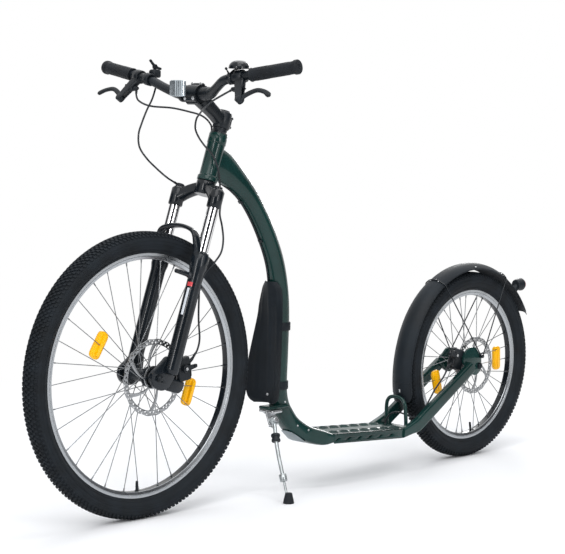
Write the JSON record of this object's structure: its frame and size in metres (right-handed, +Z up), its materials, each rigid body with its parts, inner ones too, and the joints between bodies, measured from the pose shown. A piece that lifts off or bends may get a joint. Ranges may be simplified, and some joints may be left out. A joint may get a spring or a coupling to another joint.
{
  "type": "kick bike",
  "caption": "Adult kick bike with a large front wheel, suspension fork, low punched deck, smaller rear wheel, disc brakes, guards and a side stand.",
  "frame": {"origin": "centre of the bounding box in X and Y, on the ground", "axes": "+X is the way it rolls, +Y is its left and +Z is up; the bike leans a little to its left onto its stand"},
  "size_m": [1.798, 0.6624, 1.0747],
  "materials": {
    "frame_paint": "gloss",
    "black_metal": "satin",
    "chrome": "polished",
    "rim_silver": "machined",
    "disc_steel": "brushed",
    "scuff_steel": "satin",
    "stand_steel": "zinc plated",
    "tyre": "matt",
    "rubber": "matt",
    "black_plastic": "fine texture",
    "cable_jacket": "smooth",
    "amber_plastic": "clear gloss",
    "clear_plastic": "clear gloss",
    "red_plastic": "clear gloss"
  },
  "bodies": {
    "frame": {"head_tube": "frame_paint", "down_tube": "frame_paint", "scuff_plate": "scuff_steel", "deck": "frame_paint", "left_stay": "frame_paint", "right_stay": "frame_paint", "fender_hoop": "frame_paint", "rear_fender": "black_plastic", "fender_stay_front": "black_metal", "fender_stay_rear": "black_metal", "tail_lamp": "black_plastic", "tail_lens": "red_plastic", "front_mudguard": "black_plastic", "rear_caliper": "black_metal", "rear_axle": "disc_steel", "stand_bracket": "stand_steel", "stand_spring": "disc_steel", "rear_brake_cable": "cable_jacket"},
    "steering": {"fork_crown": "black_metal", "stanchion_left": "chrome", "stanchion_right": "chrome", "headset_spacer": "black_metal", "stem": "black_metal", "stem_faceplate": "black_metal", "handlebar": "black_metal", "grip_left": "rubber", "grip_right": "rubber", "lever_perch_left": "black_metal", "lever_perch_right": "black_metal", "bell": "black_metal", "front_reflector": "clear_plastic", "front_reflector_bracket": "black_plastic", "lockout_remote": "black_plastic", "lockout_cable": "cable_jacket", "front_brake_cable": "cable_jacket"},
    "fork_slider": {"fork_lowers": "black_metal", "front_axle": "disc_steel", "front_caliper": "black_metal"},
    "front_wheel": {"front_tyre": "tyre", "front_rim": "rim_silver", "front_hub": "black_metal", "front_rotor": "disc_steel", "front_wheel_reflector_1": "amber_plastic", "front_wheel_reflector_2": "amber_plastic"},
    "rear_wheel": {"rear_tyre": "tyre", "rear_rim": "rim_silver", "rear_hub": "black_metal", "rear_rotor": "disc_steel", "rear_wheel_reflector_1": "amber_plastic", "rear_wheel_reflector_2": "amber_plastic"},
    "left_lever": {"brake_lever_left": "black_metal"},
    "right_lever": {"brake_lever_right": "black_metal"},
    "front_arm": {"front_brake_arm": "disc_steel"},
    "rear_arm": {"rear_brake_arm": "disc_steel"},
    "stand": {"stand_leg": "stand_steel"},
    "stand_end": {"stand_lower": "stand_steel", "stand_foot": "rubber"},
    "remote_lever": {"lockout_lever": "black_plastic"},
    "knob": {"lockout_knob": "black_plastic"},
    "striker": {"bell_striker": "disc_steel"}
  },
  "joints": [
    {"name": "steer", "type": "hinge", "parent": "frame", "child": "steering", "pos_m": [0.36411, -0.00698, 0.78115], "axis": [-0.3173, 0.0255, 0.948], "range_deg": [-60, 60], "deforming": ["rear_brake_cable"]},
    {"name": "fork_travel", "type": "slide", "parent": "steering", "child": "fork_slider", "axis": [-0.3173, 0.0255, 0.948], "range_m": [0, 0.05], "stiffness_N_per_m": 6000, "springref_m": -0.03, "deforming": ["front_brake_cable"]},
    {"name": "front_wheel_spin", "type": "hinge", "parent": "fork_slider", "child": "front_wheel", "pos_m": [0.564, -0.01897, 0.33518], "axis": [0, 0.9996, -0.0269], "continuous": true},
    {"name": "rear_wheel_spin", "type": "hinge", "parent": "frame", "child": "rear_wheel", "pos_m": [-0.641, -0.02104, 0.25821], "axis": [0, 0.9996, -0.0269], "continuous": true},
    {"name": "left_lever_pull", "type": "hinge", "parent": "steering", "child": "left_lever", "pos_m": [0.46058, 0.20215, 0.9692], "axis": [0.8434, 0.0144, 0.5371], "range_deg": [0, 16], "stiffness_Nm_per_rad": 1.5, "springref_deg": -11.46},
    {"name": "right_lever_pull", "type": "hinge", "parent": "steering", "child": "right_lever", "pos_m": [0.46058, -0.2057, 0.98016], "axis": [-0.8434, -0.0144, -0.5371], "range_deg": [0, 16], "stiffness_Nm_per_rad": 1.5, "springref_deg": -11.46},
    {"name": "front_arm_turn", "type": "hinge", "parent": "fork_slider", "child": "front_arm", "pos_m": [0.48029, 0.04241, 0.3483], "axis": [0, 0.9996, -0.0269], "range_deg": [0, 17]},
    {"name": "rear_arm_turn", "type": "hinge", "parent": "frame", "child": "rear_arm", "pos_m": [-0.54671, 0.02162, 0.29327], "axis": [0, 0.9996, -0.0269], "range_deg": [0, 17]},
    {"name": "stand_fold", "type": "hinge", "parent": "frame", "child": "stand", "pos_m": [0.162, 0.01915, 0.19011], "axis": [0.0771, 0.9085, 0.4107], "range_deg": [0, 74.1], "deforming": ["stand_spring"]},
    {"name": "stand_length", "type": "slide", "parent": "stand", "child": "stand_end", "axis": [0.1154, 0.3973, -0.9104], "range_m": [-0.012, 0.02]},
    {"name": "lockout_press", "type": "hinge", "parent": "steering", "child": "remote_lever", "pos_m": [0.41812, -0.12771, 1.05318], "axis": [0, 0.9996, -0.0269], "range_deg": [0, 25]},
    {"name": "lockout_turn", "type": "hinge", "parent": "steering", "child": "knob", "pos_m": [0.38958, -0.07335, 0.76826], "axis": [-0.3173, 0.0255, 0.948], "range_deg": [0, 75], "deforming": ["lockout_cable"]},
    {"name": "bell_strike", "type": "hinge", "parent": "steering", "child": "striker", "pos_m": [0.44145, 0.14777, 1.03016], "axis": [-0.788, 0.0165, 0.6154], "range_deg": [0, 7], "stiffness_Nm_per_rad": 0.05, "springref_deg": -5.73}
  ],
  "couplings": [
    {"joint": "front_arm_turn", "follows": "left_lever_pull", "ratio": 1},
    {"joint": "rear_arm_turn", "follows": "right_lever_pull", "ratio": 1},
    {"joint": "lockout_turn", "follows": "lockout_press", "ratio": 3}
  ]
}
